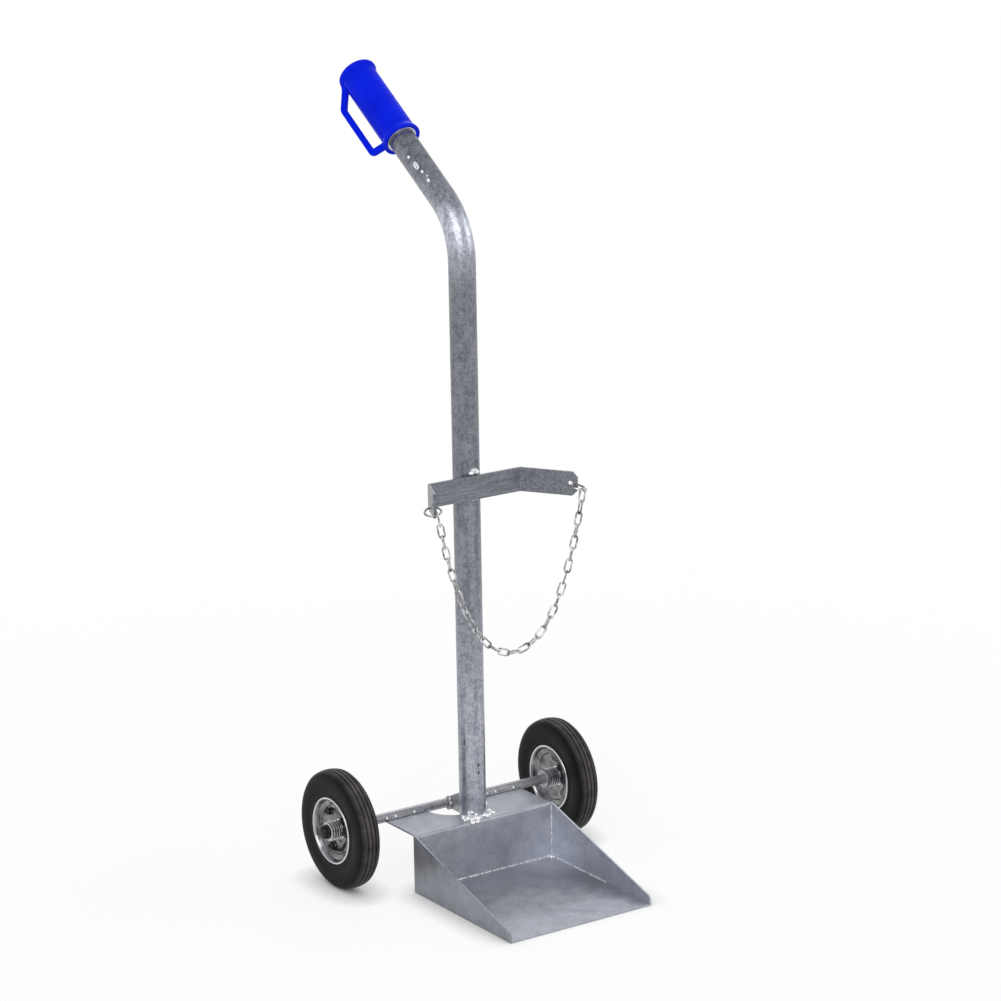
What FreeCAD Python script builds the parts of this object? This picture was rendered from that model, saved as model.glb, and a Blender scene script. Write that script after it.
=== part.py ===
"""Gas cylinder cart: a bent tube post on a sheet-steel toe shovel, with a chained cradle and two wheels.

Units are millimetres and degrees. The origin is the centre of the shovel's underside, +Z is up and the
shovel's open edge faces -Y.
"""
import FreeCAD, Part
import math
import os

import Sketcher

SIZES = {
    # toe shovel, folded from one sheet, with two welded side plates
    "tray_width": 276,
    "tray_depth": 276,
    "sheet_thickness": 3,
    "fold_radius": 2,
    "tray_front_height": 15,
    "tray_corner_radius": 8,
    "shelf_drop": 2,
    "notch_radius": 54,
    # post tube and handle
    "post_diameter": 44.5,
    "post_wall": 2.6,
    "post_setback": 33.9,
    "bend_height": 1090,
    "bend_radius": 120,
    "handle_angle": 55.6,
    "handle_length": 367,
    # moulded grip with its knuckle guard
    "grip_length": 163,
    "grip_diameter": 58.7,
    "grip_end_wall": 6,
    "grip_bead_diameter": 66,
    "grip_bead_width": 7,
    "collar_diameter": 65,
    "collar_length": 12,
    "collar_wall": 2.5,
    "collar_recess": 2,
    "guard_gap": 14,
    "guard_bar": 11,
    "guard_width": 11,
    "guard_start": 2,
    "guard_leg": 10,
    "guard_run": 109,
    "guard_return": 22,
    "guard_root": 3,
    "guard_round": 3,
    "guard_roll": 40,
    # cradle bracket, a flat bar with two bent wings
    "bar_width": 40,
    "bar_thickness": 5,
    "bracket_height": 663.5,
    "seat_width": 180,
    "left_wing_length": 75,
    "left_wing_angle": 64.5,
    "right_wing_length": 102,
    "right_wing_angle": 57,
    "wing_corner_cut": 9,
    "bracket_fold_radius": 3,
    "eye_diameter": 9,
    "eye_inset": 12,
    # chain rings and chain
    "ring_diameter": 26.5,
    "ring_wire": 3.5,
    "ring_droop": 18,
    "ring_swing": 18,
    "ring_seat_gap": 0.45,
    "link_wire": 3,
    "link_pitch": 19.8,
    "link_width": 12.6,
    "link_slack": 0.2,
    "link_count": 31,
    "link_twist": 65,
    # axle and the web that ties it to the post
    "axle_diameter": 16,
    "axle_setback": 100,
    "gusset_thickness": 10,
    "gusset_depth": 10,
    "gusset_nose": 10,
    "gusset_rise": 32,
    "stop_diameter": 32,
    "stop_width": 6,
    "cap_diameter": 26,
    "cap_length": 13,
    "cap_wall": 3,
    "side_play": 0.5,
    # wheels
    "wheel_diameter": 200,
    "track": 436,
    "tyre_width": 40,
    "shoulder_width": 5,
    "shoulder_height": 4.5,
    "rim_diameter": 113,
    "rim_width": 38,
    "rim_edge": 3,
    "rim_web": 4,
    "hub_diameter": 33,
    "hub_length": 50,
    # welds and fits
    "weld_leg": 5,
    "fit_gap": 0.1,
    "running_clearance": 0.05,
}

doc = FreeCAD.newDocument("cylinder_cart")
sheet = doc.addObject("Spreadsheet::Sheet", "sizes")
for row, (alias, size) in enumerate(SIZES.items(), start=1):
    sheet.set(f"A{row}", alias)
    sheet.set(f"B{row}", str(size))
    sheet.setAlias(f"B{row}", alias)
doc.recompute()

# Places that several pieces share, as expressions on the sheet
FRONT_Y = "(-sizes.tray_depth / 2)"
BACK_Y = "(sizes.tray_depth / 2)"
POST_Y = f"({BACK_Y} + sizes.post_setback)"
AXLE_Y = f"({BACK_Y} + sizes.axle_setback)"
AXLE_Z = "(sizes.wheel_diameter / 2)"
SHELF_Z = f"({AXLE_Z} - sizes.shelf_drop)"
SHELF_REAR_Y = f"({AXLE_Y} - sizes.axle_diameter / 2)"
POST_R = "(sizes.post_diameter / 2)"
SEAT_Y = f"({POST_Y} - {POST_R})"
FLOOR_HALF = "(sizes.tray_width / 2 - sizes.sheet_thickness)"
BEND_TANGENT = "(sizes.bend_radius * tan(sizes.handle_angle / 2))"
HUB_HALF = "(sizes.hub_length / 2)"
HUB_END_X = f"(sizes.track / 2 + {HUB_HALF} + sizes.side_play)"
AXLE_HALF = f"({HUB_END_X} + sizes.cap_length - sizes.cap_wall)"
SEAT_HALF = "(sizes.seat_width / 2)"

# A cut's length over what it cuts, so that it goes right through
CUT_THROUGH = 4
# Flats round a bent wire, and straight runs in each half turn of a ring and of a link
WIRE_SIDES = 6
RING_END_RUNS = 8
LINK_END_RUNS = 3
# Halvings that find how the chain hangs, below a step that no chain reaches
HALVINGS = 80
STEEPEST_STEP = 10.0
# A seam beside the bracket's seat starts, stops and crests at these shares of the post's radius
SEAM_NEAR, SEAM_FAR, SEAM_CREST = 0.3, 0.62, 0.52

nodes = []


def value(expression):
    """The number that an expression on the sheet stands for now."""
    result = sheet.evalExpression(expression)
    return float(getattr(result, "Value", result))


def keep(thing, label):
    """Mark an object as one piece of the cart, named by its label."""
    thing.Label = label
    nodes.append(thing)
    return thing


def new_body(name):
    return doc.addObject("PartDesign::Body", name)


def origin_feature(body, role):
    return next(f for f in body.Origin.OriginFeatures if f.Role == role)


def new_sketch(body, plane):
    sketch = body.newObject("Sketcher::SketchObject", body.Name + "_sketch")
    sketch.AttachmentSupport = (origin_feature(body, plane), [""])
    sketch.MapMode = "FlatFace"
    return sketch


def pin_point(sketch, geometry, end, x, y):
    """Hold a point of a sketch at two expressions measured from the sketch's origin."""
    for kind, expression in (("DistanceX", x), ("DistanceY", y)):
        number = sketch.addConstraint(
            Sketcher.Constraint(kind, -1, 1, geometry, end, value(expression))
        )
        sketch.setExpression(f"Constraints[{number}]", expression)


def polygon(body, plane, points):
    """A closed outline of straight runs through points given as pairs of expressions."""
    sketch = new_sketch(body, plane)
    places = [FreeCAD.Vector(value(x), value(y), 0) for x, y in points]
    count = len(points)
    for i in range(count):
        sketch.addGeometry(Part.LineSegment(places[i], places[(i + 1) % count]))
    for i in range(count):
        sketch.addConstraint(Sketcher.Constraint("Coincident", i, 2, (i + 1) % count, 1))
    for i, (x, y) in enumerate(points):
        pin_point(sketch, i, 1, x, y)
    return sketch


def circles(body, plane, x, y, radii):
    """One or more circles about a point, with expressions for the point and the radii."""
    sketch = new_sketch(body, plane)
    centre = FreeCAD.Vector(value(x), value(y), 0)
    for i, radius in enumerate(radii):
        sketch.addGeometry(Part.Circle(centre, FreeCAD.Vector(0, 0, 1), value(radius)))
        pin_point(sketch, i, 3, x, y)
        number = sketch.addConstraint(Sketcher.Constraint("Radius", i, value(radius)))
        sketch.setExpression(f"Constraints[{number}]", radius)
    return sketch


def pad(body, sketch, length, symmetric=False, reverse=False):
    feature = body.newObject("PartDesign::Pad", body.Name + "_pad")
    feature.Profile = sketch
    feature.SideType = "Symmetric" if symmetric else "One side"
    feature.Reversed = reverse
    feature.setExpression("Length", length)
    doc.recompute()
    return feature


def pocket(body, sketch, length):
    """Cut a sketch to both sides of its plane, over a length in all."""
    feature = body.newObject("PartDesign::Pocket", body.Name + "_pocket")
    feature.Profile = sketch
    feature.SideType = "Symmetric"
    feature.setExpression("Length", length)
    doc.recompute()
    return feature


def revolve(body, sketch, axis="H_Axis", angle=360):
    """Turn a sketch about one of its own axes, evenly to both sides of its plane."""
    feature = body.newObject("PartDesign::Revolution", body.Name + "_revolution")
    feature.Profile = sketch
    feature.ReferenceAxis = (sketch, [axis])
    feature.Midplane = angle < 360
    feature.Angle = angle
    doc.recompute()
    return feature


def round_edges(body, choose, radius):
    """Fillet the edges of the body's tip that choose() accepts."""
    tip = body.Tip
    names = [f"Edge{i + 1}" for i, edge in enumerate(tip.Shape.Edges) if choose(edge)]
    feature = body.newObject("PartDesign::Fillet", body.Name + "_fillet")
    feature.Base = (tip, names)
    feature.setExpression("Radius", radius)
    doc.recompute()
    return feature


def edge_through(*places):
    """A test for straight edges whose middle lies at one of the given places, None meaning anywhere."""

    def test(edge):
        middle = edge.CenterOfMass
        return any(
            all(want is None or abs(have - want) < 0.01 for have, want in zip(middle, place))
            for place in places
        )

    return test


def place(thing, x="0", y="0", z="0"):
    for axis, expression in (("x", x), ("y", y), ("z", z)):
        thing.setExpression(f"Placement.Base.{axis}", expression)


def mirrored(source, name):
    """The same piece on the other side of the cart's centre plane."""
    mirror = doc.addObject("Part::Mirroring", name)
    mirror.Source = source
    mirror.Normal = FreeCAD.Vector(1, 0, 0)
    return mirror


def pair(source, name):
    """A piece and its mirror image as two solids of one node."""
    both = doc.addObject("Part::Compound", name)
    both.Links = [source, mirrored(source, name + "_left")]
    return both


def shaped(name, shape):
    feature = doc.addObject("Part::Feature", name)
    feature.Shape = shape
    return feature


def make_toe_plate():
    """Floor, back wall and rear shelf as one folded sheet, cut round behind the post."""
    body = new_body("toe_plate")
    under_shelf = f"{SHELF_Z} - sizes.sheet_thickness"
    wall_rear = f"{BACK_Y} + sizes.sheet_thickness"
    profile = polygon(
        body,
        "YZ_Plane",
        [
            (FRONT_Y, "0"),
            (wall_rear, "0"),
            (wall_rear, under_shelf),
            (SHELF_REAR_Y, under_shelf),
            (SHELF_REAR_Y, SHELF_Z),
            (BACK_Y, SHELF_Z),
            (BACK_Y, "sizes.sheet_thickness"),
            (FRONT_Y, "sizes.sheet_thickness"),
        ],
    )
    pad(body, profile, f"2 * {FLOOR_HALF}", symmetric=True)
    outer_folds = edge_through(
        (0, value(wall_rear), 0), (0, value(BACK_Y), value(SHELF_Z))
    )
    round_edges(body, outer_folds, "sizes.fold_radius + sizes.sheet_thickness")
    inner_folds = edge_through(
        (0, value(BACK_Y), value("sizes.sheet_thickness")),
        (0, value(wall_rear), value(under_shelf)),
    )
    round_edges(body, inner_folds, "sizes.fold_radius")
    notch = circles(body, "XY_Plane", "0", SHELF_REAR_Y, ["sizes.notch_radius"])
    pocket(body, notch, f"{CUT_THROUGH} * {SHELF_Z}")
    keep(body, "toe_plate")


def make_side_plate(side, x):
    """A side wall of the shovel, sloping down from the back wall to the front edge."""
    body = new_body(side + "_side_plate")
    outline = polygon(
        body,
        "YZ_Plane",
        [
            (FRONT_Y, "0"),
            (f"{BACK_Y} + sizes.sheet_thickness", "0"),
            (f"{BACK_Y} + sizes.sheet_thickness", SHELF_Z),
            (BACK_Y, SHELF_Z),
            (FRONT_Y, "sizes.tray_front_height"),
        ],
    )
    pad(body, outline, "sizes.sheet_thickness")
    front_corner = edge_through((None, value(FRONT_Y), value("sizes.tray_front_height")))
    round_edges(body, front_corner, "sizes.tray_corner_radius")
    place(body, x=x)
    keep(body, side + "_side_plate")


def make_post():
    """A tube that stands on the shelf and bends back into the handle."""
    body = new_body("post_tube")
    path = new_sketch(body, "YZ_Plane")
    low_bend = f"sizes.bend_height - {BEND_TANGENT}"
    bend_centre_y = f"{POST_Y} + sizes.bend_radius"
    run = "(sizes.handle_length - sizes.grip_end_wall)"
    foot = FreeCAD.Vector(value(POST_Y), value(SHELF_Z), 0)
    bend_in = FreeCAD.Vector(value(POST_Y), value(low_bend), 0)
    out_y = f"{POST_Y} + {BEND_TANGENT} * sin(sizes.handle_angle)"
    out_z = f"sizes.bend_height + {BEND_TANGENT} * cos(sizes.handle_angle)"
    bend_out = FreeCAD.Vector(value(out_y), value(out_z), 0)
    end_y = f"{POST_Y} + {run} * sin(sizes.handle_angle)"
    end_z = f"sizes.bend_height + {run} * cos(sizes.handle_angle)"
    end = FreeCAD.Vector(value(end_y), value(end_z), 0)
    bend = Part.Circle(
        FreeCAD.Vector(value(bend_centre_y), value(low_bend), 0),
        FreeCAD.Vector(0, 0, 1),
        value("sizes.bend_radius"),
    )
    turn = math.radians(value("sizes.handle_angle"))
    path.addGeometry(Part.LineSegment(foot, bend_in))
    path.addGeometry(Part.ArcOfCircle(bend, math.pi - turn, math.pi))
    path.addGeometry(Part.LineSegment(bend_out, end))
    path.addConstraint(Sketcher.Constraint("Coincident", 0, 2, 1, 2))
    pin_point(path, 0, 1, POST_Y, SHELF_Z)
    pin_point(path, 0, 2, POST_Y, low_bend)
    pin_point(path, 1, 3, bend_centre_y, low_bend)
    pin_point(path, 2, 2, end_y, end_z)
    path.addConstraint(Sketcher.Constraint("Tangent", 1, 1, 2, 1))
    section = circles(body, "XY_Plane", "0", POST_Y, [POST_R, f"{POST_R} - sizes.post_wall"])
    section.setExpression("AttachmentOffset.Base.z", SHELF_Z)
    doc.recompute()
    pipe = body.newObject("PartDesign::AdditivePipe", "post_pipe")
    pipe.Profile = section
    pipe.Spine = (path, ["Edge1", "Edge2", "Edge3"])
    doc.recompute()
    keep(body, "post_tube")


def make_axle():
    bar = doc.addObject("Part::Cylinder", "axle")
    bar.setExpression("Radius", "sizes.axle_diameter / 2")
    bar.setExpression("Height", f"2 * {AXLE_HALF}")
    bar.Placement.Rotation = FreeCAD.Rotation(FreeCAD.Vector(0, 1, 0), 90)
    place(bar, x=f"-{AXLE_HALF}", y=AXLE_Y, z=AXLE_Z)
    keep(bar, "axle")


def make_gusset():
    """An upright web from the back of the post, cupped round the front of the axle."""
    body = new_body("axle_gusset")
    outline = polygon(
        body,
        "YZ_Plane",
        [
            (f"{POST_Y} + {POST_R}", f"{AXLE_Z} - sizes.gusset_depth"),
            (AXLE_Y, f"{AXLE_Z} - sizes.gusset_depth"),
            (AXLE_Y, f"{AXLE_Z} + sizes.gusset_nose"),
            (f"{POST_Y} + {POST_R}", f"{AXLE_Z} + sizes.gusset_rise"),
        ],
    )
    pad(body, outline, "sizes.gusset_thickness", symmetric=True)
    cup = circles(body, "YZ_Plane", AXLE_Y, AXLE_Z, ["sizes.axle_diameter / 2 + sizes.fit_gap"])
    pocket(body, cup, f"{CUT_THROUGH} * sizes.gusset_thickness")
    keep(body, "axle_gusset")


def wing_outline(side, sign):
    """Half of the bracket's plan: outer bend, outer tip, inner tip and inner bend of one wing."""
    length = f"sizes.{side}_wing_length"
    angle = f"sizes.{side}_wing_angle"
    end_x = f"({SEAT_HALF} + {length} * cos({angle}))"
    end_y = f"({SEAT_Y} - {length} * sin({angle}))"
    return [
        (sign + SEAT_HALF, SEAT_Y),
        (sign + end_x, end_y),
        (
            f"{sign}({end_x} - sizes.bar_thickness * sin({angle}))",
            f"({end_y} - sizes.bar_thickness * cos({angle}))",
        ),
        (
            f"{sign}({SEAT_HALF} - sizes.bar_thickness * tan({angle} / 2))",
            f"({SEAT_Y} - sizes.bar_thickness)",
        ),
    ]


def make_bracket():
    """A flat bar across the post's front, with two wings bent forward and an eye hole in each."""
    body = new_body("cradle_bracket")
    right = wing_outline("right", "")
    left = wing_outline("left", "-")
    outline = polygon(body, "XY_Plane", right + left[::-1])
    outline.setExpression(
        "AttachmentOffset.Base.z", "sizes.bracket_height - sizes.bar_width / 2"
    )
    pad(body, outline, "sizes.bar_width")
    middle = value("sizes.bracket_height")
    bends = []
    for outer_bend, _, _, inner_bend in (right, left):
        bends.append([(value(x), value(y), middle) for x, y in (outer_bend, inner_bend)])
    outer_bends, inner_bends = zip(*bends)
    round_edges(
        body, edge_through(*outer_bends), "sizes.bracket_fold_radius + sizes.bar_thickness"
    )
    round_edges(body, edge_through(*inner_bends), "sizes.bracket_fold_radius")
    tips = []
    for _, (x, y), (inner_x, inner_y), _ in (right, left):
        tips.append(((value(x) + value(inner_x)) / 2, (value(y) + value(inner_y)) / 2, None))
    tip = body.Tip
    corners = edge_through(*tips)
    chamfer = body.newObject("PartDesign::Chamfer", "wing_corners")
    chamfer.Base = (tip, [f"Edge{i + 1}" for i, e in enumerate(tip.Shape.Edges) if corners(e)])
    chamfer.setExpression("Size", "sizes.wing_corner_cut")
    doc.recompute()
    for side, sign, turn in (("right", "", "-"), ("left", "-", "")):
        along = f"{sign}(sizes.{side}_wing_length - sizes.eye_inset)"
        eye = circles(body, "XZ_Plane", along, "0", ["sizes.eye_diameter / 2"])
        eye.AttachmentOffset = FreeCAD.Placement(
            FreeCAD.Vector(), FreeCAD.Rotation(FreeCAD.Vector(0, 1, 0), 1)
        )
        eye.setExpression("AttachmentOffset.Rotation.Angle", f"{turn}sizes.{side}_wing_angle")
        eye.setExpression("AttachmentOffset.Base.x", sign + SEAT_HALF)
        eye.setExpression("AttachmentOffset.Base.y", "sizes.bracket_height")
        eye.setExpression("AttachmentOffset.Base.z", f"-{SEAT_Y}")
        doc.recompute()
        pocket(body, eye, f"{CUT_THROUGH} * sizes.bar_thickness")
    keep(body, "cradle_bracket")


def make_grip():
    """A moulded sleeve with an end bead, a flared collar and a knuckle guard, pushed onto the tube."""
    body = new_body("handle_grip")
    bore = f"({POST_R} + sizes.fit_gap)"
    outside = "(sizes.grip_diameter / 2)"
    bead = "(sizes.grip_bead_diameter / 2)"
    collar = "(sizes.collar_diameter / 2)"
    end = "sizes.grip_length"
    floor = "(sizes.grip_length - sizes.grip_end_wall)"
    profile = polygon(
        body,
        "XY_Plane",
        [
            ("0", f"{collar} - sizes.collar_wall"),
            ("0", collar),
            ("sizes.collar_length", outside),
            (f"{end} - sizes.grip_bead_width", outside),
            (f"{end} - sizes.grip_bead_width", bead),
            (end, bead),
            (end, "0"),
            (floor, "0"),
            (floor, bore),
            ("sizes.collar_recess", bore),
        ],
    )
    revolve(body, profile)
    inside = f"({outside} + sizes.guard_gap)"
    outer = f"({inside} + sizes.guard_bar)"
    root = f"({outside} - sizes.guard_root)"
    inner_start = "(sizes.guard_start + sizes.guard_leg)"
    run_end = "(sizes.guard_start + sizes.guard_run)"
    bow = polygon(
        body,
        "XY_Plane",
        [
            ("sizes.guard_start", root),
            ("sizes.guard_start", outer),
            (run_end, outer),
            (f"{end} - sizes.grip_bead_width / 2", root),
            (f"{run_end} + sizes.guard_return", root),
            (run_end, inside),
            (inner_start, inside),
            (inner_start, root),
        ],
    )
    pad(body, bow, "sizes.guard_width", symmetric=True)
    elbow = edge_through((value("sizes.guard_start"), value(outer), 0))
    round_edges(body, elbow, "sizes.guard_round")
    lean = math.radians(value("sizes.handle_angle"))
    roll = math.radians(value("sizes.guard_roll"))
    along = FreeCAD.Vector(0, math.sin(lean), math.cos(lean))
    under = FreeCAD.Vector(0, math.cos(lean), -math.sin(lean))
    guard_side = FreeCAD.Vector(-1, 0, 0) * math.cos(roll) + under * math.sin(roll)
    apex = FreeCAD.Vector(0, value(POST_Y), value("sizes.bend_height"))
    start = value("sizes.handle_length - sizes.grip_length")
    body.Placement = FreeCAD.Placement(
        apex + along * start,
        FreeCAD.Rotation(along, guard_side, along.cross(guard_side), "XYZ"),
    )
    keep(body, "handle_grip")


def make_welds():
    """Fillet welds at the post's foot, beside the bracket's seat and along the axle."""
    foot = new_body("post_foot_weld")
    ring = polygon(
        foot,
        "YZ_Plane",
        [
            (f"-{POST_R} - sizes.fit_gap", "0"),
            (f"-{POST_R} - sizes.fit_gap - sizes.weld_leg", "0"),
            (f"-{POST_R} - sizes.fit_gap", "sizes.weld_leg"),
        ],
    )
    revolve(foot, ring, "V_Axis", 180)
    place(foot, y=POST_Y, z=SHELF_Z)
    seam = new_body("bracket_weld")
    shares = (SEAM_NEAR, SEAM_FAR, SEAM_CREST)
    near, far, crest = (f"({share} * {POST_R})" for share in shares)
    wedge = polygon(
        seam,
        "XY_Plane",
        [
            (near, "0"),
            (far, "0"),
            (crest, f"{POST_R} - sqrt({POST_R}^2 - {crest}^2) - sizes.fit_gap"),
        ],
    )
    pad(seam, wedge, "sizes.bar_width")
    place(seam, y=SEAT_Y, z="sizes.bracket_height - sizes.bar_width / 2")
    post_beads = doc.addObject("Part::Compound", "post_beads")
    post_beads.Links = [foot, pair(seam, "bracket_welds")]
    keep(post_beads, "post_welds")

    bead = new_body("shelf_weld")
    front = "-sizes.axle_diameter / 2 - sizes.fit_gap"
    corner = polygon(
        bead,
        "YZ_Plane",
        [
            (f"{front} - sizes.weld_leg", "-sizes.shelf_drop"),
            (front, "-sizes.shelf_drop"),
            (front, "sizes.weld_leg - sizes.shelf_drop"),
        ],
    )
    pad(bead, corner, f"{FLOOR_HALF} - sizes.notch_radius - sizes.weld_leg")
    place(bead, x="sizes.notch_radius + sizes.weld_leg", y=AXLE_Y, z=AXLE_Z)
    keep(pair(bead, "shelf_welds"), "axle_welds")


def bent_wire(corners, wire):
    """A closed wire of many-sided section through the corners of a flat loop, mitred at each corner."""
    offsets = []
    for j in range(WIRE_SIDES):
        angle = 2 * math.pi * j / WIRE_SIDES
        offsets.append((wire / 2 * math.cos(angle), wire / 2 * math.sin(angle)))
    count = len(corners)
    rings = []
    for k, corner in enumerate(corners):
        before = (corner - corners[k - 1]).normalize()
        after = (corners[(k + 1) % count] - corner).normalize()
        outward = FreeCAD.Vector(before.y + after.y, -before.x - after.x, 0)
        mitre = outward * (2 / outward.dot(outward))
        up = FreeCAD.Vector(0, 0, 1)
        rings.append([corner + mitre * across + up * high for across, high in offsets])
    faces = []
    for k in range(count):
        ring, after = rings[k], rings[(k + 1) % count]
        for j in range(WIRE_SIDES):
            nearby = (j + 1) % WIRE_SIDES
            quad = [ring[j], after[j], after[nearby], ring[nearby], ring[j]]
            faces.append(Part.Face(Part.makePolygon(quad)))
    solid = Part.Solid(Part.Shell(faces))
    if solid.Volume < 0:
        solid.reverse()
    return solid


def loop_corners(straight, radius, steps):
    """Corners of a flat loop with two straight sides along X and round ends cut into short runs."""
    reach = radius / math.cos(math.pi / (2 * steps))
    corners = []
    for end in (1, -1):
        for i in range(steps):
            angle = math.pi * ((i + 0.5) / steps - 0.5)
            x = straight / 2 + reach * math.cos(angle)
            corners.append(FreeCAD.Vector(end * x, end * reach * math.sin(angle), 0))
    return corners


def wing_lines(outward, angle):
    """The level lines along and across a wing that is bent forward by an angle."""
    turn = math.radians(angle)
    along = FreeCAD.Vector(outward * math.cos(turn), -math.sin(turn), 0)
    across = FreeCAD.Vector(outward * math.sin(turn), math.cos(turn), 0)
    return along, across


def ring_frame(side, outward):
    """Centre of a chain ring, the way it hangs and the line across it.

    The ring rests on the lower edge of the wing's eye. Its far end swings outward from the wing and
    hangs lower than the eye.
    """
    along, across = wing_lines(outward, value(f"sizes.{side}_wing_angle"))
    bend = FreeCAD.Vector(outward * value(SEAT_HALF), value(SEAT_Y), 0)
    eye = bend + along * value(f"sizes.{side}_wing_length - sizes.eye_inset")
    eye -= across * value("sizes.bar_thickness / 2")
    drop = "(sizes.eye_diameter - sizes.ring_wire) / 2 - sizes.ring_seat_gap"
    eye.z = value(f"sizes.bracket_height - ({drop})")
    ahead, across = wing_lines(outward, value(f"sizes.{side}_wing_angle - sizes.ring_swing"))
    droop = math.radians(value("sizes.ring_droop"))
    hang = ahead * math.cos(droop) - FreeCAD.Vector(0, 0, math.sin(droop))
    return eye + hang * value("sizes.ring_diameter / 2"), hang, across


def make_chain_ring(side, outward):
    hoop_runs = loop_corners(0, value("sizes.ring_diameter / 2"), RING_END_RUNS)
    ring = shaped(side + "_chain_ring", bent_wire(hoop_runs, value("sizes.ring_wire")))
    centre, hang, across = ring_frame(side, outward)
    ring.Placement = FreeCAD.Placement(
        centre, FreeCAD.Rotation(hang, across, hang.cross(across), "XYZ")
    )
    keep(ring, side + "_chain_ring")


def chain_seat(side, outward):
    """The foremost point of a ring's centre line, where the chain's end link hangs."""
    centre, hang, across = ring_frame(side, outward)
    foremost = (hang * -hang.y - across * across.y).normalize()
    return centre + foremost * value("sizes.ring_diameter / 2")


def chain_slopes(span, hook):
    """Slopes of links that hang at rest: their tangents rise by equal steps, found by halving."""
    count = int(value("sizes.link_count"))
    step_length = value("sizes.link_pitch - sizes.link_slack")
    low, high = 0.0, STEEPEST_STEP
    for _ in range(HALVINGS):
        step = (low + high) / 2
        slopes = [math.atan(step * (i - (count - 1) / 2)) for i in range(count)]
        reach = sum(step_length * math.cos(s) for s in slopes) - 2 * hook * math.cos(slopes[0])
        if reach > span:
            low = step
        else:
            high = step
    return slopes


def make_chain():
    """Interlocked links that hang from ring to ring, each turned a quarter against the one before."""
    wire = value("sizes.link_wire")
    width = value("sizes.link_width") - wire
    straight = value("sizes.link_pitch") + wire - width
    link = bent_wire(loop_corners(straight, width / 2, LINK_END_RUNS), wire)
    step_length = value("sizes.link_pitch - sizes.link_slack")
    hook = value("sizes.ring_wire / 2 + sizes.link_slack / 2")
    left = chain_seat("left", -1)
    span = chain_seat("right", 1) - left
    slopes = chain_slopes(span.Length, hook)
    run = span.normalize()
    level = FreeCAD.Vector(0, 0, 1).cross(run).normalize()
    up = run.cross(level)
    twist = value("sizes.link_twist")
    joint = left - (run * math.cos(slopes[0]) + up * math.sin(slopes[0])) * hook
    links = []
    for i, slope in enumerate(slopes):
        along = run * math.cos(slope) + up * math.sin(slope)
        beside = along.cross(level)
        # the middle link lies flat, and the links turn about the chain towards both ends
        from_middle = abs(1 - 2 * i / (len(slopes) - 1))
        turn = math.radians(180 - twist * from_middle + 90 * (i % 2))
        facing = level * math.cos(turn) + beside * math.sin(turn)
        copy = link.copy()
        copy.Placement = FreeCAD.Placement(
            joint + along * (step_length / 2),
            FreeCAD.Rotation(along, facing.cross(along), facing, "XZY"),
        )
        links.append(copy)
        joint = joint + along * step_length
    keep(shaped("chain_links", Part.makeCompound(links)), "chain_links")


def ring_on_axle(name, start, width, inner, outer):
    """A plain ring about the axle, with its near face a distance to the right of the centre plane."""
    body = new_body(name)
    reach = f"({start}) + ({width})"
    section = [(start, inner), (reach, inner), (reach, outer), (start, outer)]
    revolve(body, polygon(body, "XY_Plane", section))
    place(body, y=AXLE_Y, z=AXLE_Z)
    return body


def make_axle_fittings():
    """Stop rings inside the wheels and push-on caps outside them."""
    on_axle = "(sizes.axle_diameter / 2 + sizes.fit_gap)"
    stop = ring_on_axle(
        "stop_ring",
        f"sizes.track / 2 - {HUB_HALF} - sizes.side_play - sizes.stop_width",
        "sizes.stop_width",
        on_axle,
        "sizes.stop_diameter / 2",
    )
    keep(pair(stop, "stop_rings"), "axle_stop_rings")
    cap = new_body("axle_cap")
    rim = "sizes.cap_diameter / 2"
    tip = f"{HUB_END_X} + sizes.cap_length"
    cup = polygon(
        cap,
        "XY_Plane",
        [
            (HUB_END_X, on_axle),
            (HUB_END_X, rim),
            (tip, rim),
            (tip, "0"),
            (f"{AXLE_HALF} + sizes.fit_gap", "0"),
            (f"{AXLE_HALF} + sizes.fit_gap", on_axle),
        ],
    )
    revolve(cap, cup)
    place(cap, y=AXLE_Y, z=AXLE_Z)
    keep(pair(cap, "caps"), "axle_caps")


def make_wheel_piece(name, section):
    """A piece turned about the axle, in the right wheel and mirrored in the left one.

    The section is given from the wheel's middle plane outwards, and the wheel is the same on both sides.
    """
    body = new_body("right_" + name)
    inward = [(f"-({x})", radius) for x, radius in reversed(section)]
    revolve(body, polygon(body, "XY_Plane", section + inward))
    place(body, x="sizes.track / 2", y=AXLE_Y, z=AXLE_Z)
    keep(body, "right_" + name)
    keep(mirrored(body, "left_" + name), "left_" + name)


def make_wheels():
    crown = "(sizes.wheel_diameter / 2)"
    side = "(sizes.tyre_width / 2)"
    rim = "(sizes.rim_diameter / 2)"
    hub = "(sizes.hub_diameter / 2)"
    edge = "(sizes.rim_width / 2)"
    web = "(sizes.rim_web / 2)"
    well = f"({rim} - sizes.rim_edge)"
    # solid rubber with cut-off shoulders
    make_wheel_piece(
        "tyre",
        [
            (side, f"{rim} + sizes.fit_gap"),
            (side, f"{crown} - sizes.shoulder_height"),
            (f"{side} - sizes.shoulder_width", crown),
        ],
    )
    # pressed rim: a thin barrel under the tyre, with a web in its middle
    make_wheel_piece(
        "rim",
        [(web, f"{hub} + sizes.fit_gap"), (web, well), (edge, well), (edge, rim)],
    )
    # hub tube that turns on the axle
    make_wheel_piece(
        "hub",
        [(HUB_HALF, "sizes.axle_diameter / 2 + sizes.running_clearance"), (HUB_HALF, hub)],
    )


make_toe_plate()
make_side_plate("left", "-sizes.tray_width / 2")
make_side_plate("right", FLOOR_HALF)
make_post()
make_axle()
make_gusset()
make_bracket()
make_grip()
make_welds()
make_chain_ring("right", 1)
make_chain_ring("left", -1)
make_chain()
make_axle_fittings()
make_wheels()
doc.recompute()

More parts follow.
